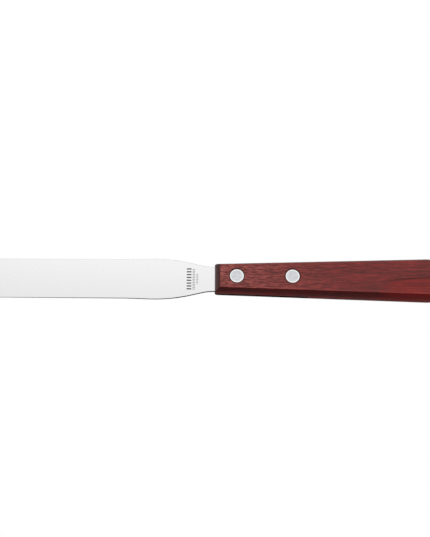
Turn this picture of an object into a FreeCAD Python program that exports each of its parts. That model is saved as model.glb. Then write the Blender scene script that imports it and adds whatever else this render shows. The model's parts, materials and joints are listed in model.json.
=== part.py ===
"""Small straight baker's palette knife: a parallel steel blade riveted into a one-piece wooden handle.

Frame: +X runs from the handle's front end to its butt (the blade points to -X), +Z is up, and the
knife lies on the handle's underside. X = 0 is the handle's front end, half way along the knife.
Every body is drawn about the mid-plane of the blade and lifted by half the handle's thickness.
All sizes are in millimetres.
"""

import FreeCAD, Part
import math
import os

import Sketcher

DRIVING_DIMENSIONS = {
    # blade, in plan
    "blade_length": 109.0,  # exposed, from the tip to the handle's front end
    "blade_width": 19.05,
    "heel_width": 19.7,  # where the shoulders begin
    "heel_start": 41.0,  # ahead of the handle: the parallel stretch ends
    "heel_end": 30.0,  # ahead of the handle: the shoulders begin
    "neck_width": 12.0,
    "shoulder_angle": 13.4,  # degrees
    "shoulder_radius": 72.0,  # outer curve, from the heel into the slope
    "neck_radius": 19.5,  # inner curve, from the slope into the neck
    # blade, in thickness
    "tang_thickness": 1.2,
    "tip_thickness": 0.45,
    "taper_start": 3.0,  # ahead of the handle: the blade starts to thin
    "tang_length": 41.0,
    "tang_corner_radius": 2.0,
    "blade_edge_radius": 0.15,
    # handle
    "handle_length": 109.0,
    "handle_thickness": 11.1,
    "front_width": 14.5,  # at the mid-plane
    "butt_radius": 10.44,  # round end, at the mid-plane
    "front_side_inset": 1.74,  # the flat stands in from the mid-plane by this at the front
    "rear_side_inset": 2.15,  # and by this at the butt
    "end_inset": 2.72,
    "knee_height": 3.6,  # above the mid-plane, where the barrelled side is half way in
    "knee_share": 0.49,
    "front_corner_radius": 0.5,
    "flat_edge_radius": 0.2,
    "kerf_length": 43.0,
    "kerf_height": 1.3,
    # rivets
    "front_rivet_place": 10.3,  # behind the handle's front end
    "rivet_spacing": 25.7,
    "head_diameter": 6.75,
    "counterbore_diameter": 7.05,
    "counterbore_depth": 1.5,
    "head_below_flat": 0.05,
    "crown_rise": 0.15,
    "head_rim_radius": 0.3,
    "rivet_hole_diameter": 4.1,
    "sleeve_diameter": 4.0,
    "sleeve_bore_diameter": 2.8,
    "sleeve_reach": 3.2,  # below the mid-plane
    "bore_top": 2.6,  # above the mid-plane
    "pin_diameter": 2.76,
    "pin_reach": 2.4,  # above the mid-plane
}

MID_PLANE_HEIGHT = "dims.handle_thickness / 2"
HORIZONTAL_AXIS = -1
VERTICAL_AXIS = -2
START, END, CENTRE = 1, 2, 3
ORIGIN = (-1, 1)
CLEAR = "5"  # how far a cutting profile stands clear of the stock
TOLERANCE = 0.01  # mm, for telling edges apart by where they lie
SMALLEST_CUT = 1e-6  # mm3, less than this means a pocket missed

RIVET_PLACES = {
    "front_rivet": "dims.front_rivet_place",
    "rear_rivet": "dims.front_rivet_place + dims.rivet_spacing",
}
HEAD_SEAT = "(dims.handle_thickness / 2 - dims.counterbore_depth)"
HEAD_CROWN = "(dims.handle_thickness / 2 - dims.head_below_flat)"
HEAD_EDGE = f"({HEAD_CROWN} - dims.crown_rise)"

doc = FreeCAD.newDocument("palette_knife")
sheet = doc.addObject("Spreadsheet::Sheet", "dims")
for row, (alias, number) in enumerate(DRIVING_DIMENSIONS.items(), start=1):
    sheet.set(f"A{row}", alias)
    sheet.set(f"B{row}", str(number))
    sheet.setAlias(f"B{row}", alias)
doc.recompute()


def value(expression):
    """Work out an expression of the sheet's dimensions, as a plain number."""
    result = sheet.evalExpression(expression)
    return float(getattr(result, "Value", result))


# ---------------------------------------------------------------- helpers for bodies and sketches

def new_body(name):
    """Make an empty body whose own XY plane is the knife's mid-plane."""
    body = doc.addObject("PartDesign::Body", name)
    body.Label = name
    body.setExpression("Placement.Base.z", MID_PLANE_HEIGHT)
    return body


def origin_plane(body, role):
    return next(feature for feature in body.Origin.OriginFeatures if feature.Role == role)


def new_sketch(body, name, role, offset="0"):
    """Attach a sketch to one of the body's own origin planes, raised by the offset."""
    sketch = body.newObject("Sketcher::SketchObject", name)
    sketch.AttachmentSupport = [(origin_plane(body, role), "")]
    sketch.MapMode = "FlatFace"
    sketch.setExpression("AttachmentOffset.Base.z", offset)
    return sketch


def bind(sketch, kind, place, expression):
    """Add a dimension to a sketch and drive it from the sheet."""
    index = sketch.addConstraint(Sketcher.Constraint(kind, *place, value(expression)))
    sketch.setExpression(f"Constraints[{index}]", expression)


def fix_point(sketch, geometry, end, x, y):
    """Hold one end of a line or arc at (x, y), both of them expressions."""
    bind(sketch, "DistanceX", (*ORIGIN, geometry, end), x)
    bind(sketch, "DistanceY", (*ORIGIN, geometry, end), y)


def join(sketch, first, second):
    """Join the end of one piece of an outline to the start of the next."""
    sketch.addConstraint(Sketcher.Constraint("Coincident", first, END, second, START))


def add_line(sketch, start, end):
    return sketch.addGeometry(Part.LineSegment(FreeCAD.Vector(*start, 0), FreeCAD.Vector(*end, 0)))


def add_arc(sketch, centre, radius, first_angle, last_angle):
    """Add an anticlockwise arc between two angles in radians."""
    circle = Part.Circle(FreeCAD.Vector(*centre, 0), FreeCAD.Vector(0, 0, 1), radius)
    return sketch.addGeometry(Part.ArcOfCircle(circle, first_angle, last_angle))


def polygon(sketch, corners):
    """Close a loop of straight lines through corners, each a pair of expressions."""
    points = [(value(x), value(y)) for x, y in corners]
    count = len(points)
    lines = [add_line(sketch, points[i], points[(i + 1) % count]) for i in range(count)]
    for i in range(count):
        join(sketch, lines[i], lines[(i + 1) % count])
    for line, (x, y) in zip(lines, corners):
        fix_point(sketch, line, START, x, y)


def circle(sketch, x, diameter):
    """Add a hole's outline, centred on the X axis."""
    outline = Part.Circle(FreeCAD.Vector(value(x), 0, 0), FreeCAD.Vector(0, 0, 1), value(diameter) / 2)
    index = sketch.addGeometry(outline)
    sketch.addConstraint(Sketcher.Constraint("PointOnObject", index, CENTRE, HORIZONTAL_AXIS))
    bind(sketch, "DistanceX", (*ORIGIN, index, CENTRE), x)
    bind(sketch, "Diameter", (index,), diameter)


def cut(body, name, sketch, depth=None):
    """Pocket a sketch: right through both ways, or to a depth; check that material went."""
    doc.recompute()
    before = body.Shape.Volume
    pocket = body.newObject("PartDesign::Pocket", name)
    pocket.Profile = sketch
    if depth is None:
        pocket.Type = "ThroughAll"
        pocket.SideType = "Symmetric"
    else:
        pocket.setExpression("Length", depth)
    doc.recompute()
    if body.Shape.Volume >= before - SMALLEST_CUT:
        raise RuntimeError(f"{name} cut nothing from {body.Label}")
    return pocket


def mirror(body, name, feature, role):
    """Repeat a feature on the other side of one of the body's origin planes."""
    mirrored = body.newObject("PartDesign::Mirrored", name)
    mirrored.Originals = [feature]
    mirrored.MirrorPlane = (origin_plane(body, role), [""])
    body.Tip = mirrored
    doc.recompute()
    return mirrored


def fillet(body, name, radius, chosen):
    """Round the edges of the body for which chosen(edge) is true."""
    doc.recompute()
    base = body.Tip
    edges = [f"Edge{i}" for i, edge in enumerate(base.Shape.Edges, start=1) if chosen(edge)]
    if not edges:
        raise RuntimeError(f"{name} found no edges on {body.Label}")
    rounding = body.newObject("PartDesign::Fillet", name)
    rounding.Base = (base, edges)
    rounding.setExpression("Radius", radius)
    doc.recompute()
    return rounding


def is_level(edge, height):
    """Tell whether an edge lies wholly at one height above the mid-plane."""
    box = edge.BoundBox
    return abs(box.ZMin - height) < TOLERANCE and abs(box.ZMax - height) < TOLERANCE


# ---------------------------------------------------------------- blade

def draw_blade_half(sketch):
    """Draw half of the blade's plan, from the tip round to the tang's end, on the +Y side."""
    length, half_width = value("dims.blade_length"), value("dims.blade_width / 2")
    heel_start, heel_end = -value("dims.heel_start"), -value("dims.heel_end")
    heel, neck = value("dims.heel_width / 2"), value("dims.neck_width / 2")
    outer, inner = value("dims.shoulder_radius"), value("dims.neck_radius")
    tang_end = value("dims.tang_length")
    flare = math.atan2(heel - half_width, heel_end - heel_start)
    slope = math.radians(value("dims.shoulder_angle"))

    # the outer curve leaves the heel along the flare and turns down to the shoulder's slope
    outer_centre = (heel_end + outer * math.sin(flare), heel - outer * math.cos(flare))
    slope_start = (outer_centre[0] + outer * math.sin(slope), outer_centre[1] + outer * math.cos(slope))
    inner_top = neck + inner * (1 - math.cos(slope))
    slope_run = (slope_start[1] - inner_top) / math.tan(slope)
    slope_end = (slope_start[0] + slope_run, inner_top)
    inner_centre = (slope_end[0] + inner * math.sin(slope), neck + inner)
    quarter = math.pi / 2

    tip = add_arc(sketch, (half_width - length, 0), half_width, quarter, math.pi)
    side = add_line(sketch, (half_width - length, half_width), (heel_start, half_width))
    heel_line = add_line(sketch, (heel_start, half_width), (heel_end, heel))
    shoulder = add_arc(sketch, outer_centre, outer, quarter - slope, quarter + flare)
    slope_line = add_line(sketch, slope_start, slope_end)
    neck_arc = add_arc(sketch, inner_centre, inner, -quarter - slope, -quarter)
    tang_side = add_line(sketch, (inner_centre[0], neck), (tang_end, neck))
    tang_back = add_line(sketch, (tang_end, neck), (tang_end, 0))
    middle = add_line(sketch, (tang_end, 0), (-length, 0))

    constrain = sketch.addConstraint
    constrain(Sketcher.Constraint("PointOnObject", tip, CENTRE, HORIZONTAL_AXIS))
    constrain(Sketcher.Constraint("Tangent", tip, START, side, START))
    constrain(Sketcher.Constraint("Horizontal", side))
    join(sketch, side, heel_line)
    constrain(Sketcher.Constraint("Tangent", heel_line, END, shoulder, END))
    constrain(Sketcher.Constraint("Tangent", shoulder, START, slope_line, START))
    constrain(Sketcher.Constraint("Tangent", slope_line, END, neck_arc, START))
    constrain(Sketcher.Constraint("Tangent", neck_arc, END, tang_side, START))
    constrain(Sketcher.Constraint("Horizontal", tang_side))
    join(sketch, tang_side, tang_back)
    constrain(Sketcher.Constraint("Vertical", tang_back))
    join(sketch, tang_back, middle)
    constrain(Sketcher.Constraint("PointOnObject", middle, START, HORIZONTAL_AXIS))
    constrain(Sketcher.Constraint("Horizontal", middle))
    constrain(Sketcher.Constraint("Coincident", middle, END, tip, END))

    bind(sketch, "Radius", (tip,), "dims.blade_width / 2")
    bind(sketch, "DistanceX", (*ORIGIN, middle, END), "-dims.blade_length")
    bind(sketch, "DistanceX", (*ORIGIN, heel_line, START), "-dims.heel_start")
    fix_point(sketch, heel_line, END, "-dims.heel_end", "dims.heel_width / 2")
    bind(sketch, "Radius", (shoulder,), "dims.shoulder_radius")
    bind(sketch, "Radius", (neck_arc,), "dims.neck_radius")
    bind(sketch, "Angle", (slope_line,), "-dims.shoulder_angle * 1 deg")
    fix_point(sketch, tang_side, END, "dims.tang_length", "dims.neck_width / 2")


def make_blade():
    """Build the blade and its half tang: parallel blade, flat shoulders, neck, two rivet holes."""
    body = new_body("blade")
    plan = new_sketch(body, "blade_plan", "XY_Plane")
    draw_blade_half(plan)
    half = body.newObject("PartDesign::Pad", "blade_half")
    half.Profile = plan
    half.SideType = "Symmetric"
    half.setExpression("Length", "dims.tang_thickness")
    doc.recompute()
    mirror(body, "blade_whole", half, "XZ_Plane")

    wedge = new_sketch(body, "taper_profile", "XZ_Plane")
    polygon(wedge, [
        (f"-dims.blade_length - {CLEAR}", "dims.tip_thickness / 2"),
        ("-dims.taper_start", "dims.tang_thickness / 2"),
        ("-dims.taper_start", f"dims.tang_thickness / 2 + {CLEAR}"),
        (f"-dims.blade_length - {CLEAR}", f"dims.tang_thickness / 2 + {CLEAR}"),
    ])
    taper = cut(body, "upper_taper", wedge)
    mirror(body, "lower_taper", taper, "XY_Plane")

    holes = new_sketch(body, "tang_holes", "XY_Plane")
    for place in RIVET_PLACES.values():
        circle(holes, place, "dims.rivet_hole_diameter")
    cut(body, "tang_rivet_holes", holes)

    tang_end = value("dims.tang_length")
    fillet(body, "tang_corners", "dims.tang_corner_radius",
           lambda edge: edge.BoundBox.XMin > tang_end - TOLERANCE and edge.BoundBox.YLength < TOLERANCE)
    neck = -value("dims.taper_start")
    fillet(body, "blade_edges", "dims.blade_edge_radius",
           lambda edge: edge.BoundBox.XMax < neck + TOLERANCE and edge.BoundBox.XLength > TOLERANCE)
    return body


# ---------------------------------------------------------------- handle

def draw_handle_section(sketch, share):
    """Draw the handle's plan where the given share of the full inset has been reached."""
    front = f"{share} * dims.end_inset"
    front_half = f"dims.front_width / 2 - {share} * dims.front_side_inset"
    radius = f"dims.butt_radius - {share} * dims.rear_side_inset"
    butt_centre = f"dims.handle_length - {share} * dims.end_inset - ({radius})"

    x_front, y_front, butt, x_centre = (value(e) for e in (front, front_half, radius, butt_centre))
    run = math.hypot(x_centre - x_front, y_front)
    flare = math.asin(butt / run) - math.atan2(y_front, x_centre - x_front)
    past_square = math.pi / 2 + flare
    tangent = (x_centre + butt * math.cos(past_square), butt * math.sin(past_square))

    end = add_line(sketch, (x_front, -y_front), (x_front, y_front))
    far_side = add_line(sketch, (x_front, y_front), tangent)
    round_end = add_arc(sketch, (x_centre, 0), butt, -past_square, past_square)
    near_side = add_line(sketch, (tangent[0], -tangent[1]), (x_front, -y_front))
    constrain = sketch.addConstraint
    join(sketch, end, far_side)
    constrain(Sketcher.Constraint("Tangent", far_side, END, round_end, END))
    constrain(Sketcher.Constraint("Tangent", round_end, START, near_side, START))
    join(sketch, near_side, end)
    constrain(Sketcher.Constraint("Symmetric", end, START, end, END, HORIZONTAL_AXIS))
    constrain(Sketcher.Constraint("PointOnObject", round_end, CENTRE, HORIZONTAL_AXIS))
    fix_point(sketch, end, END, front, front_half)
    bind(sketch, "Radius", (round_end,), radius)
    bind(sketch, "DistanceX", (*ORIGIN, round_end, CENTRE), butt_centre)


def make_handle():
    """Build the barrelled handle, its saw kerf for the tang, and its rivet holes."""
    body = new_body("handle")
    sections = []
    for name, height, share in (
        ("mid_plane_section", "0", "0"),
        ("knee_section", "dims.knee_height", "dims.knee_share"),
        ("flat_section", MID_PLANE_HEIGHT, "1"),
    ):
        section = new_sketch(body, name, "XY_Plane", height)
        draw_handle_section(section, share)
        sections.append(section)
    doc.recompute()
    upper = body.newObject("PartDesign::AdditiveLoft", "upper_half")
    upper.Profile = sections[0]
    upper.Sections = sections[1:]
    doc.recompute()
    mirror(body, "both_halves", upper, "XY_Plane")

    far_front = value("dims.end_inset") + TOLERANCE
    fillet(body, "front_corners", "dims.front_corner_radius",
           lambda edge: edge.BoundBox.XMax < far_front and edge.BoundBox.ZLength > TOLERANCE)
    flat = value(MID_PLANE_HEIGHT)
    fillet(body, "flat_edges", "dims.flat_edge_radius",
           lambda edge: is_level(edge, flat) or is_level(edge, -flat))

    slot = new_sketch(body, "kerf_profile", "XZ_Plane")
    polygon(slot, [
        (f"-{CLEAR}", "-dims.kerf_height / 2"),
        ("dims.kerf_length", "-dims.kerf_height / 2"),
        ("dims.kerf_length", "dims.kerf_height / 2"),
        (f"-{CLEAR}", "dims.kerf_height / 2"),
    ])
    cut(body, "saw_kerf", slot)

    holes = new_sketch(body, "rivet_hole_plan", "XY_Plane")
    seats = new_sketch(body, "counterbore_plan", "XY_Plane", MID_PLANE_HEIGHT)
    for place in RIVET_PLACES.values():
        circle(holes, place, "dims.rivet_hole_diameter")
        circle(seats, place, "dims.counterbore_diameter")
    cut(body, "rivet_holes", holes)
    upper_seats = cut(body, "upper_counterbores", seats, depth="dims.counterbore_depth")
    mirror(body, "lower_counterbores", upper_seats, "XY_Plane")
    return body


# ---------------------------------------------------------------- rivets

def revolve_rivet(body, place, corners, side):
    """Turn a rivet half about its own Z axis, its head above (side 1) or below (side -1)."""
    profile = new_sketch(body, f"{body.Label}_profile", "XZ_Plane")
    points = [(value(x), value(z)) for x, z in corners]
    lines = [add_line(profile, *pair) for pair in zip(points, points[1:])]
    edge, crown, foot = points[-1], side * value(HEAD_CROWN), points[0]

    # the crown is a shallow arc from the head's edge to the rivet's axis
    rise = value("dims.crown_rise")
    radius = (edge[0] ** 2 + rise ** 2) / (2 * rise)
    half_angle = math.asin(edge[0] / radius)
    upright = side * math.pi / 2
    angles = sorted((upright, upright - side * half_angle))
    crown_arc = add_arc(profile, (0, crown - side * radius), radius, *angles)
    axis = add_line(profile, (0, crown), foot)
    for first, second in zip(lines, lines[1:]):
        join(profile, first, second)
    edge_end, axis_end = (START, END) if side > 0 else (END, START)
    constrain = profile.addConstraint
    constrain(Sketcher.Constraint("Coincident", lines[-1], END, crown_arc, edge_end))
    constrain(Sketcher.Constraint("Coincident", crown_arc, axis_end, axis, START))
    join(profile, axis, lines[0])
    for line, (x, z) in zip(lines, corners):
        fix_point(profile, line, START, x, z)
    fix_point(profile, lines[-1], END, *corners[-1])
    constrain(Sketcher.Constraint("PointOnObject", crown_arc, CENTRE, VERTICAL_AXIS))
    constrain(Sketcher.Constraint("PointOnObject", axis, START, VERTICAL_AXIS))
    sign = "" if side > 0 else "-"
    bind(profile, "DistanceY", (*ORIGIN, axis, START), f"{sign}{HEAD_CROWN}")

    turned = body.newObject("PartDesign::Revolution", f"{body.Label}_turned")
    turned.Profile = profile
    turned.ReferenceAxis = (profile, ["V_Axis"])
    turned.Angle = 360
    body.setExpression("Placement.Base.x", place)
    height = side * value(HEAD_EDGE)
    fillet(body, f"{body.Label}_rim", "dims.head_rim_radius", lambda edge: is_level(edge, height))
    return body


def make_rivet(name, place):
    """Build one two-piece compression rivet: a sleeve with its head above, a pin with its below."""
    socket = revolve_rivet(new_body(f"{name}_socket"), place, [
        ("0", "dims.bore_top"),
        ("dims.sleeve_bore_diameter / 2", "dims.bore_top"),
        ("dims.sleeve_bore_diameter / 2", "-dims.sleeve_reach"),
        ("dims.sleeve_diameter / 2", "-dims.sleeve_reach"),
        ("dims.sleeve_diameter / 2", HEAD_SEAT),
        ("dims.head_diameter / 2", HEAD_SEAT),
        ("dims.head_diameter / 2", HEAD_EDGE),
    ], side=1)
    stud = revolve_rivet(new_body(f"{name}_stud"), place, [
        ("0", "dims.pin_reach"),
        ("dims.pin_diameter / 2", "dims.pin_reach"),
        ("dims.pin_diameter / 2", f"-{HEAD_SEAT}"),
        ("dims.head_diameter / 2", f"-{HEAD_SEAT}"),
        ("dims.head_diameter / 2", f"-{HEAD_EDGE}"),
    ], side=-1)
    return [socket, stud]


# ---------------------------------------------------------------- build, check and write

pieces = [make_blade(), make_handle()]
for rivet, rivet_place in RIVET_PLACES.items():
    pieces += make_rivet(rivet, rivet_place)
doc.recompute()

for item in doc.Objects:
    if "Invalid" in item.State or "Error" in item.State:
        raise RuntimeError(f"{item.Label} failed: {item.State}")
for piece in pieces:
    if piece.Shape.isNull() or not piece.Shape.isValid() or len(piece.Shape.Solids) != 1:
        raise RuntimeError(f"{piece.Label} is not one valid solid")

os.makedirs("parts", exist_ok=True)
for piece in pieces:
    piece.Shape.exportStep(f"parts/{piece.Label}.step")
    box = piece.Shape.BoundBox
    print(f"{piece.Label}: {piece.Shape.Volume:.1f} mm3, x {box.XMin:.2f} to {box.XMax:.2f}, "
          f"y {box.YMin:.2f} to {box.YMax:.2f}, z {box.ZMin:.2f} to {box.ZMax:.2f}")
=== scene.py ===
"""Looks for the palette knife: satin steel, stained and lacquered wood, aluminium rivets, studio."""
import json
import math

import bpy
from mathutils import Euler, Matrix, Vector


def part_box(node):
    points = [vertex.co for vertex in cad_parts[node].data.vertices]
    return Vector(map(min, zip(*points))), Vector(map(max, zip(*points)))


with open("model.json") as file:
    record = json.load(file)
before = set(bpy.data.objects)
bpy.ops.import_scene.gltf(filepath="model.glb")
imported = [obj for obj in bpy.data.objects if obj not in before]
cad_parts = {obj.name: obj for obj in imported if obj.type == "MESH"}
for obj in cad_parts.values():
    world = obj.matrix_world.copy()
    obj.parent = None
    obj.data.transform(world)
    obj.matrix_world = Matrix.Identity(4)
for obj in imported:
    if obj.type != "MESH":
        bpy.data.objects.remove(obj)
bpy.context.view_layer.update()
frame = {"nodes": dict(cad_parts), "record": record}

MM = 0.001
nodes = frame["nodes"]


# ---------------------------------------------------------------- node helpers

class Shader:
    """A material's node tree, with short calls for the nodes that these materials use."""

    def __init__(self, name):
        self.material = bpy.data.materials.new(name)
        self.material.use_nodes = True
        self.tree = self.material.node_tree
        self.tree.nodes.clear()
        output = self.tree.nodes.new("ShaderNodeOutputMaterial")
        self.bsdf = self.tree.nodes.new("ShaderNodeBsdfPrincipled")
        self.tree.links.new(self.bsdf.outputs["BSDF"], output.inputs["Surface"])
        where = self.tree.nodes.new("ShaderNodeTexCoord")
        scale = self.tree.nodes.new("ShaderNodeVectorMath")
        scale.operation = "SCALE"
        scale.inputs["Scale"].default_value = 1 / MM
        self.tree.links.new(where.outputs["Object"], scale.inputs[0])
        self.place = scale.outputs["Vector"]  # the point's place in millimetres

    def set(self, **values):
        """Set plain values on the shader's own sockets, as base_color=... and so on."""
        for key, number in values.items():
            self.bsdf.inputs[key.replace("_", " ").title().replace("Ior", "IOR")].default_value = number

    def feed(self, socket, output):
        self.tree.links.new(output, self.bsdf.inputs[socket])

    def put(self, socket, given):
        """Give a node's input a link, or a plain value."""
        if isinstance(given, bpy.types.NodeSocket):
            self.tree.links.new(given, socket)
        else:
            socket.default_value = given

    def math(self, operation, *given, clamp=False):
        node = self.tree.nodes.new("ShaderNodeMath")
        node.operation = operation
        node.use_clamp = clamp
        for socket, item in zip(node.inputs, given):
            self.put(socket, item)
        return node.outputs[0]

    def spread(self, value, low, high, to_low=0.0, to_high=1.0, smooth=True):
        """Map low..high to to_low..to_high, held at both ends."""
        node = self.tree.nodes.new("ShaderNodeMapRange")
        node.interpolation_type = "SMOOTHSTEP" if smooth else "LINEAR"
        for key, item in (("Value", value), ("From Min", low), ("From Max", high),
                          ("To Min", to_low), ("To Max", to_high)):
            self.put(node.inputs[key], item)
        return node.outputs["Result"]

    def squeeze(self, factors, shift=(0.0, 0.0, 0.0), place=None):
        """The place, multiplied along each axis and shifted."""
        node = self.tree.nodes.new("ShaderNodeVectorMath")
        node.operation = "MULTIPLY_ADD"
        self.put(node.inputs[0], place or self.place)
        node.inputs[1].default_value = factors
        node.inputs[2].default_value = shift
        return node.outputs["Vector"]

    def noise(self, place, detail, roughness=0.55):
        node = self.tree.nodes.new("ShaderNodeTexNoise")
        self.put(node.inputs["Vector"], place)
        for key, item in (("Scale", 1.0), ("Detail", detail), ("Roughness", roughness)):
            node.inputs[key].default_value = item
        return node.outputs["Fac"]

    def split(self, vector):
        node = self.tree.nodes.new("ShaderNodeSeparateXYZ")
        self.put(node.inputs[0], vector)
        return node.outputs

    def distance(self, point):
        """How far each place is from a point in millimetres, seen along Z."""
        node = self.tree.nodes.new("ShaderNodeVectorMath")
        node.operation = "DISTANCE"
        self.put(node.inputs[0], self.squeeze((1.0, 1.0, 0.0)))
        node.inputs[1].default_value = (point[0], point[1], 0.0)
        return node.outputs["Value"]

    def mix(self, factor, first, second, kind="MIX"):
        node = self.tree.nodes.new("ShaderNodeMix")
        node.data_type = "RGBA"
        node.blend_type = kind
        self.put(node.inputs["Factor"], factor)
        colours = [socket for socket in node.inputs if socket.type == "RGBA"]
        for socket, item in zip(colours, (first, second)):
            self.put(socket, item)
        return next(socket for socket in node.outputs if socket.type == "RGBA")

    def cover(self, colour, mask, strength, paint):
        """Lay a plain colour over another where the mask is 1, at most this strongly."""
        return self.mix(self.math("MULTIPLY", mask, strength), colour, (*paint, 1.0))

    def ramp(self, value, stops):
        node = self.tree.nodes.new("ShaderNodeValToRGB")
        self.put(node.inputs["Fac"], value)
        elements = node.color_ramp.elements
        while len(elements) < len(stops):
            elements.new(0.5)
        for element, (position, colour) in zip(elements, stops):
            element.position = position
            element.color = (*colour, 1.0)
        return node.outputs["Color"]

    def bump(self, height, distance_mm, strength=1.0):
        node = self.tree.nodes.new("ShaderNodeBump")
        node.inputs["Strength"].default_value = strength
        node.inputs["Distance"].default_value = distance_mm * MM
        self.put(node.inputs["Height"], height)
        self.feed("Normal", node.outputs["Normal"])


# ---------------------------------------------------------------- materials

# lengths in millimetres; X is 0 at the handle's front end, and the blade points to -X
MID_PLANE = 5.55
KERF_HALF = 0.66  # a little over half the saw cut's height
KERF_END = 43.0
FLAT_FRONT = 2.72
FLAT_FRONT_HALF = 5.51
FLAT_FLARE = 0.0292  # half-width gained per millimetre
FLAT_BUTT_RADIUS = 8.29
FLAT_BUTT_CENTRE = 97.99
GRAIN_DRIFT = 3.0  # the most that the grain strays sideways
THIN_STAIN_RUN = (2.0, 65.0)  # along X, where the stain thins out towards the front
FIGURE_RUN = (70.0, 105.0)  # along X, where the streaks grow bolder towards the butt
LINE_RUN = (79.0, 100.0)  # along X, where the growth line slants towards +Y
LINE_SWEEP = (-2.0, 0.1)  # the line's Y at each end of that run, and beyond it
LINE_FADE = 5.0  # either side of the run's start, where the line comes in
RIVETS = ("front_rivet_socket", "rear_rivet_socket")
STAIN_AND_SHADE_RING = (3.5, 4.1)  # from a rivet's centre, where the dark ring fades out
RIVET_RIM_HIGHLIGHT = (2.5, 2.9)  # from a rivet's centre, where the painted highlight on the rim comes in
SHADE_RUN = (-9.5, 9.5)  # along Y, from the most painted shade to none
SHEARED_FROM = (-21.5, -17.5)  # along X, where the edges turn from ground to left as cut
TANG_SHADE_FROM = (0.1, 0.8)  # along X, where painted shade darkens the steel inside the handle
BAR_BLUR = 0.04  # half the width over which a row of bars fades at its borders
BAR_PHASE = 50.0  # sets where in its pitch each row starts
# plain rows of bars: x run, y run, pitch, share of the pitch that is etched, depth of tone
ETCHED_ROWS = (
    ((-12.9, -10.7), (-5.6, 5.6), 1.40, 0.45, 0.88),
    ((-10.2, -9.0), (-5.2, 5.2), 0.80, 0.50, 0.60),
    ((-8.4, -7.6), (-2.6, 2.6), 0.80, 0.50, 0.60),
)


def centre_mm(node):
    low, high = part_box(node)
    return ((low + high) / 2) / MM


def facing_up(shader):
    """How far the surface faces straight up or down: 1 on the flats, 0 on the sides."""
    where = shader.tree.nodes.new("ShaderNodeTexCoord")
    return shader.math("ABSOLUTE", shader.split(where.outputs["Normal"])[2])


def facing_end(shader):
    """How far the surface faces along the knife: 1 on the handle's end grain, 0 on its sides."""
    where = shader.tree.nodes.new("ShaderNodeTexCoord")
    return shader.math("ABSOLUTE", shader.split(where.outputs["Normal"])[0])


def wobbled_grain(shader):
    """The place in millimetres, with the grain along X drifting sideways as it goes."""
    drift = shader.noise(shader.squeeze((0.02, 0.06, 0.06)), detail=1.0)
    x, y, z = shader.split(shader.place)[:3]
    combine = shader.tree.nodes.new("ShaderNodeCombineXYZ")
    shader.put(combine.inputs[0], x)
    shader.put(combine.inputs[1], shader.math("ADD", y, shader.math("MULTIPLY", drift, GRAIN_DRIFT)))
    shader.put(combine.inputs[2], z)
    return combine.outputs[0]


def weighted_tone(shader, parts):
    """Add noises about their middle, each with its own weight, to give 0 to 1."""
    tone = None
    for noise, weight in parts:
        term = shader.math("MULTIPLY", shader.math("SUBTRACT", noise, 0.5), weight)
        tone = term if tone is None else shader.math("ADD", tone, term)
    return shader.math("ADD", tone, 0.5, clamp=True)


def from_flat_edge(shader, x, y):
    """How far in from the outline of the handle's flats, in millimetres."""
    widening = shader.math("MULTIPLY", shader.math("SUBTRACT", x, FLAT_FRONT), FLAT_FLARE)
    half_width = shader.math("ADD", widening, FLAT_FRONT_HALF)
    from_side = shader.math("SUBTRACT", half_width, shader.math("ABSOLUTE", y))
    from_butt = shader.math("SUBTRACT", FLAT_BUTT_RADIUS, shader.distance((FLAT_BUTT_CENTRE, 0.0)))
    in_butt = shader.math("GREATER_THAN", x, FLAT_BUTT_CENTRE)
    nearest = shader.math("ADD", shader.math("MULTIPLY", from_butt, in_butt),
                          shader.math("MULTIPLY", from_side, shader.math("SUBTRACT", 1.0, in_butt)))
    return shader.math("MINIMUM", nearest, shader.math("SUBTRACT", x, FLAT_FRONT))


def growth_line(shader, x, y):
    """The dark line that sweeps across the rear of the flat, and the redder wood on its -Y side."""
    wobble = shader.noise(shader.squeeze((0.12, 0.3, 0.3), (5.0, 2.0, 0.0)), detail=2.0)
    line_y = shader.spread(x, *LINE_RUN, *LINE_SWEEP, smooth=False)
    line_y = shader.math("ADD", line_y, shader.math("SUBTRACT", wobble, 0.5))
    above = shader.math("SUBTRACT", y, line_y)
    reach = shader.spread(x, LINE_RUN[0] - LINE_FADE, LINE_RUN[0] + LINE_FADE)
    core = shader.spread(shader.math("ABSOLUTE", above), 0.15, 0.65, 1.0, 0.0)
    line = shader.math("MULTIPLY", core, reach)
    lower = shader.math("MULTIPLY", shader.spread(above, -0.8, 0.2, 1.0, 0.0), reach)
    return line, lower


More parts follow.
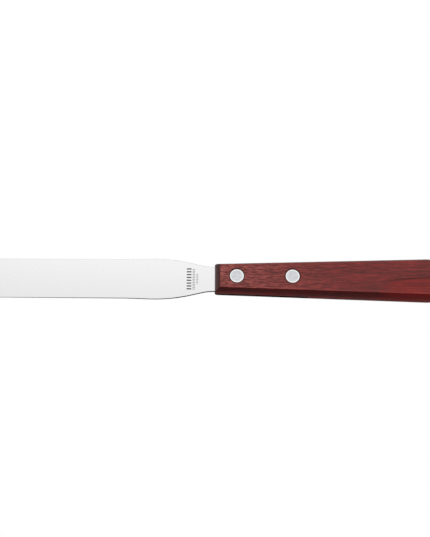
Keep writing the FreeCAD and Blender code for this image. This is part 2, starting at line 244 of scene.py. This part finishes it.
def wood_material():
    """Close-grained hardwood, stained red-brown under a thin satin lacquer."""
    shader = Shader("stained_wood")
    grain = wobbled_grain(shader)
    x, y, z = shader.split(shader.place)[:3]
    level = facing_up(shader)

    bands = shader.noise(shader.squeeze((0.012, 0.35, 0.25), place=grain), detail=2.0)
    streaks = shader.noise(shader.squeeze((0.05, 1.3, 0.9), (3.0, 1.0, 0.0), grain), detail=3.0)
    fibres = shader.noise(shader.squeeze((0.16, 5.0, 3.5), (0.0, 7.0, 2.0), grain), detail=2.0)
    flecks = shader.noise(shader.squeeze((0.40, 1.7, 1.5), (2.0, 4.0, 1.0), grain), detail=3.0)
    pores = shader.noise(shader.squeeze((0.22, 4.0, 4.0), (9.0, 0.0, 5.0), grain), detail=2.0)
    pore_mask = shader.spread(pores, 0.60, 0.70)
    flat = shader.spread(level, 0.60, 0.90)
    front = shader.math("POWER", shader.spread(x, *THIN_STAIN_RUN, 1.0, 0.0, smooth=False), 1.3)
    front = shader.math("MULTIPLY", front, flat)

    fleck_weight = shader.spread(front, 0.0, 1.0, 0.6, 3.6, smooth=False)
    flecked = shader.math("ADD", 0.5, shader.math(
        "MULTIPLY", shader.math("SUBTRACT", flecks, 0.5), fleck_weight))
    figure = shader.spread(x, *FIGURE_RUN, 1.2, 3.0, smooth=False)
    tone = weighted_tone(shader, ((bands, 0.7), (streaks, figure), (fibres, 2.8), (flecked, 1.3)))
    deep = shader.ramp(tone, [
        (0.05, (0.119, 0.0290, 0.0275)),
        (0.38, (0.190, 0.0300, 0.0280)),
        (0.55, (0.236, 0.0312, 0.0284)),
        (0.78, (0.295, 0.0360, 0.0310)),
        (0.98, (0.368, 0.0470, 0.0400)),
    ])
    thin = shader.ramp(tone, [
        (0.05, (0.165, 0.0300, 0.0260)),
        (0.38, (0.270, 0.0540, 0.0465)),
        (0.55, (0.350, 0.0770, 0.0660)),
        (0.78, (0.440, 0.1070, 0.0920)),
        (0.98, (0.530, 0.1470, 0.1270)),
    ])
    colour = shader.mix(front, deep, thin)
    colour = shader.cover(colour, pore_mask, 0.5, (0.060, 0.0060, 0.0040))

    # painted shade: the sides are darkened where they face away from the light, and most of all their
    # slopes
    side = shader.math("SUBTRACT", 1.0, flat)
    depth = shader.math("MULTIPLY", side, shader.spread(level, 0.15, 0.35, 0.15, 1.0))
    colour = shader.mix(depth, colour, (0.40, 0.05, 0.04, 1.0), "MULTIPLY")

    line, lower = growth_line(shader, x, y)
    colour = shader.cover(colour, lower, 0.35, (0.310, 0.0065, 0.0030))
    colour = shader.cover(colour, line, 0.65, (0.070, 0.0050, 0.0030))

    # painted highlight along the edges of the flats, where the stain is also rubbed paler
    patchy = shader.spread(streaks, 0.35, 0.60, 0.55, 1.0)
    near_edge = shader.spread(from_flat_edge(shader, x, y), 0.25, 0.95, 1.0, 0.0)
    rubbed_and_highlit = shader.math("MULTIPLY", shader.math("MULTIPLY", near_edge, patchy), flat)
    colour = shader.cover(colour, rubbed_and_highlit, 0.32, (0.520, 0.0950, 0.0820))

    # a darker ring around each rivet: stain gathered there, and painted shade of the gap round the head
    for rivet in RIVETS:
        ring = shader.spread(shader.distance(centre_mm(rivet)), *STAIN_AND_SHADE_RING, 1.0, 0.0)
        colour = shader.cover(colour, ring, 0.7, (0.075, 0.0060, 0.0040))

    # the end grain takes the stain duller and browner
    end_grain = shader.spread(facing_end(shader), 0.45, 0.80)
    colour = shader.cover(colour, end_grain, 0.72, (0.125, 0.0560, 0.0550))

    # painted shade along the saw cut's lower lip, which faces down into shadow
    below = shader.math("SUBTRACT", MID_PLANE, z)
    lip_shade = shader.math("MULTIPLY", shader.spread(below, 0.2, 0.5),
                      shader.spread(below, 1.3, 2.2, 1.0, 0.0))
    along = shader.spread(x, KERF_END - 1.0, KERF_END + 1.0, 1.0, 0.0)
    colour = shader.cover(colour, shader.math("MULTIPLY", lip_shade, along), 0.9, (0.014, 0.0025, 0.0020))

    # painted shade on the saw cut's own walls, deep in the slot
    off_middle = shader.math("ABSOLUTE", shader.math("SUBTRACT", z, MID_PLANE))
    shaded_cut = shader.math("MULTIPLY", shader.spread(off_middle, KERF_HALF, KERF_HALF + 0.03, 1.0, 0.0),
                      shader.spread(x, KERF_END, KERF_END + 0.2, 1.0, 0.0))
    colour = shader.mix(shaded_cut, colour, (0.012, 0.0025, 0.0020, 1.0))

    shader.feed("Base Color", colour)
    lacquer = shader.spread(fibres, 0.3, 0.7, 0.13, 0.21, smooth=False)
    shader.feed("Roughness", shader.math("MAXIMUM", lacquer, shader.math("MULTIPLY", shaded_cut, 0.8)))
    shader.set(ior=1.30)  # lower than a real lacquer's, so that the pale floor greys the slopes less
    relief = shader.math("SUBTRACT", shader.math("MULTIPLY", fibres, 0.4), pore_mask)
    shader.bump(relief, 0.012)
    return shader.material


def hatch(shader, x, y, x_run, y_run, pitch, duty):
    """A plain row of equal bars, stacked across the blade: 1 inside a bar, 0 outside."""
    inside = None
    for value, (low, high) in ((x, x_run), (y, y_run)):
        rise = shader.spread(value, low - BAR_BLUR, low + BAR_BLUR)
        fall = shader.spread(value, high - BAR_BLUR, high + BAR_BLUR, 1.0, 0.0)
        both = shader.math("MULTIPLY", rise, fall)
        inside = both if inside is None else shader.math("MULTIPLY", inside, both)
    phase = shader.math("FRACT", shader.math("DIVIDE", shader.math("ADD", y, BAR_PHASE), pitch))
    return shader.math("MULTIPLY", inside, shader.math("LESS_THAN", phase, duty))


def steel_material():
    """Stainless steel, satin polished lengthwise, with painted shade on its edges and a plain hatched
    etching.
    """
    shader = Shader("satin_steel")
    x, y, z = shader.split(shader.place)[:3]
    lines = shader.noise(shader.squeeze((0.10, 9.0, 9.0)), detail=3.0, roughness=0.7)
    cloud = shader.noise(shader.squeeze((0.04, 0.12, 0.12)), detail=2.0)
    colour = shader.mix(lines, (0.846, 0.845, 0.843, 1.0), (0.902, 0.900, 0.899, 1.0))
    colour = shader.cover(colour, cloud, 0.10, (0.78, 0.79, 0.80))

    # painted shade: the steel is a little darker towards one edge
    painted_shade = shader.spread(y, *SHADE_RUN, 0.66, 0.0, smooth=False)
    colour = shader.mix(painted_shade, colour, (0.745, 0.748, 0.750, 1.0))

    # the etching, on the upper face only
    top = shader.spread(z, MID_PLANE, MID_PLANE + 0.1)
    etched = None
    for x_run, y_run, pitch, duty, depth in ETCHED_ROWS:
        row = shader.math("MULTIPLY", hatch(shader, x, y, x_run, y_run, pitch, duty), depth)
        etched = row if etched is None else shader.math("MAXIMUM", etched, row)
    etched = shader.math("MULTIPLY", etched, top)
    colour = shader.mix(etched, colour, (0.045, 0.045, 0.050, 1.0))

    # the edges are ground as far as part way round the shoulders, and left as cut from there; both
    # carry painted shade, the cut ones near black
    unground = shader.spread(x, *SHEARED_FROM)
    edge = shader.spread(facing_up(shader), shader.spread(unground, 0.0, 1.0, 0.55, 0.86),
                         shader.spread(unground, 0.0, 1.0, 0.90, 0.995), 1.0, 0.0)
    edge_shade = shader.mix(unground, (0.150, 0.150, 0.185, 1.0), (0.018, 0.018, 0.028, 1.0))
    colour = shader.mix(edge, colour, edge_shade)

    # painted shade on the tang inside the handle
    colour = shader.mix(shader.spread(x, *TANG_SHADE_FROM), colour, (0.120, 0.110, 0.105, 1.0))

    shader.feed("Base Color", colour)
    shader.set(metallic=1.0)
    satin = shader.spread(lines, 0.3, 0.7, 0.24, 0.32, smooth=False)
    sheared = shader.math("MULTIPLY", edge, shader.spread(unground, 0.0, 1.0, 0.45, 0.90))
    rough = shader.math("MAXIMUM", satin, sheared)
    shader.feed("Roughness", shader.math("MAXIMUM", rough, shader.math("MULTIPLY", etched, 0.6)))
    relief = shader.math("SUBTRACT", shader.math("MULTIPLY", lines, 0.5), etched)
    shader.bump(relief, 0.006, 0.5)
    return shader.material


def rivet_material():
    """Aluminium: a faced head, with a painted highlight on its rolled rim."""
    shader = Shader("rivet_aluminium")
    away = None
    for rivet in RIVETS:
        near = shader.distance(centre_mm(rivet))
        away = near if away is None else shader.math("MINIMUM", away, near)
    rim_highlight = shader.spread(away, *RIVET_RIM_HIGHLIGHT)
    mottle = shader.noise(shader.squeeze((0.9, 0.9, 0.9)), detail=4.0)
    patches = shader.spread(mottle, 0.35, 0.65)
    face = shader.mix(patches, (0.56, 0.57, 0.59, 1.0), (0.73, 0.73, 0.74, 1.0))
    # painted highlight: the rim is made brighter than the face
    shader.feed("Base Color", shader.mix(rim_highlight, face, (0.93, 0.93, 0.93, 1.0)))
    shader.set(metallic=1.0)
    turned = shader.math("SINE", shader.math("MULTIPLY", away, 40.0))
    shader.feed("Roughness", shader.spread(mottle, 0.3, 0.7, 0.30, 0.42, smooth=False))
    shader.bump(shader.math("ADD", mottle, shader.math("MULTIPLY", turned, 0.15)), 0.01)
    return shader.material


MATERIALS = {
    "handle_wood": wood_material(),
    "blade_steel": steel_material(),
    "rivet_metal": rivet_material(),
}
for part in frame["record"]["subparts"]:
    piece = nodes[part["node"]]
    piece.data.materials.clear()
    piece.data.materials.append(MATERIALS[part["material_slot"]])


# ---------------------------------------------------------------- studio

# lengths in metres, apart from the lens
CAMERA_TILT = math.radians(20.5)  # of the view from straight down
CAMERA_ROLL = math.radians(0.42)
CAMERA_DISTANCE = 0.694
LENS_MM = 100.0
AIM = Vector((0.0002, 0.00545, 0.00555))
FLOOR_SIZE = 4.0
SOFTBOX_SIZE = 1.2
SOFTBOX_DISTANCE = 0.75
SOFTBOX_RADIANCE = 0.46  # on top of the room behind it, which shows through
SOFTBOX_SHIFT = 0.22  # towards the butt, so its light falls off gently at the blade's tip
FLOOR_DROP = 0.0002  # below the knife, so that the two surfaces don't coincide
FLOOR_PALE = 0.6
ROOM_LOW, ROOM_HIGH = 0.16, 0.62  # radiance at the horizon and straight up


def tilted(angle, side):
    """A direction at this angle from straight up, leaning towards side along Y."""
    return Vector((0.0, side * math.sin(angle), math.cos(angle)))


def add_camera():
    data = bpy.data.cameras.new("camera")
    data.lens = LENS_MM
    data.sensor_width = 36.0
    data.clip_start = 0.01
    camera = bpy.data.objects.new("camera", data)
    bpy.context.scene.collection.objects.link(camera)
    turn = Euler((CAMERA_TILT, 0.0, 0.0)).to_matrix() @ Euler((0.0, 0.0, CAMERA_ROLL)).to_matrix()
    place = AIM + CAMERA_DISTANCE * tilted(CAMERA_TILT, -1.0)
    camera.matrix_world = Matrix.Translation(place) @ turn.to_4x4()
    bpy.context.scene.camera = camera


def add_softbox():
    """One large softbox where the flat surfaces mirror it to the camera."""
    data = bpy.data.lights.new("softbox", "AREA")
    data.shape = "SQUARE"
    data.size = SOFTBOX_SIZE
    data.energy = SOFTBOX_RADIANCE * math.pi * SOFTBOX_SIZE ** 2
    light = bpy.data.objects.new("softbox", data)
    bpy.context.scene.collection.objects.link(light)
    towards = tilted(CAMERA_TILT, 1.0)
    turn = Euler((-CAMERA_TILT, 0.0, 0.0)).to_matrix().to_4x4()
    place = SOFTBOX_DISTANCE * towards + Vector((SOFTBOX_SHIFT, 0.0, 0.0))
    light.matrix_world = Matrix.Translation(place) @ turn


def add_floor():
    """A plain pale floor: white to the camera, and plain diffuse paper to everything else."""
    data = bpy.data.meshes.new("floor")
    half = FLOOR_SIZE / 2
    corners = [(-half, -half, 0.0), (half, -half, 0.0), (half, half, 0.0), (-half, half, 0.0)]
    data.from_pydata(corners, [], [(0, 1, 2, 3)])
    floor = bpy.data.objects.new("floor", data)
    floor.location.z = -FLOOR_DROP
    bpy.context.scene.collection.objects.link(floor)

    material = bpy.data.materials.new("floor_white")
    material.use_nodes = True
    tree = material.node_tree
    tree.nodes.clear()
    output = tree.nodes.new("ShaderNodeOutputMaterial")
    paper = tree.nodes.new("ShaderNodeBsdfDiffuse")
    paper.inputs["Color"].default_value = (FLOOR_PALE, FLOOR_PALE, FLOOR_PALE, 1.0)
    white = tree.nodes.new("ShaderNodeEmission")
    white.inputs["Strength"].default_value = 1.0
    ray = tree.nodes.new("ShaderNodeLightPath")
    choose = tree.nodes.new("ShaderNodeMixShader")
    tree.links.new(ray.outputs["Is Camera Ray"], choose.inputs["Fac"])
    tree.links.new(paper.outputs["BSDF"], choose.inputs[1])
    tree.links.new(white.outputs["Emission"], choose.inputs[2])
    tree.links.new(choose.outputs["Shader"], output.inputs["Surface"])
    data.materials.append(material)


def add_world():
    """White to the camera; to everything else, a room that brightens smoothly from the horizon up."""
    world = bpy.data.worlds.new("room")
    world.use_nodes = True
    bpy.context.scene.world = world
    tree = world.node_tree
    background = tree.nodes["Background"]
    background.inputs["Color"].default_value = (1.0, 1.0, 1.0, 1.0)
    where = tree.nodes.new("ShaderNodeTexCoord")
    split = tree.nodes.new("ShaderNodeSeparateXYZ")
    tree.links.new(where.outputs["Generated"], split.inputs[0])
    room = tree.nodes.new("ShaderNodeMapRange")
    room.interpolation_type = "SMOOTHSTEP"
    room.inputs["To Min"].default_value = ROOM_LOW
    room.inputs["To Max"].default_value = ROOM_HIGH
    tree.links.new(split.outputs["Z"], room.inputs["Value"])
    ray = tree.nodes.new("ShaderNodeLightPath")
    level = tree.nodes.new("ShaderNodeMapRange")
    level.inputs["To Max"].default_value = 1.0
    tree.links.new(room.outputs["Result"], level.inputs["To Min"])
    tree.links.new(ray.outputs["Is Camera Ray"], level.inputs["Value"])
    tree.links.new(level.outputs["Result"], background.inputs["Strength"])


add_camera()
add_softbox()
add_floor()
add_world()
bpy.context.scene.view_settings.view_transform = "Standard"
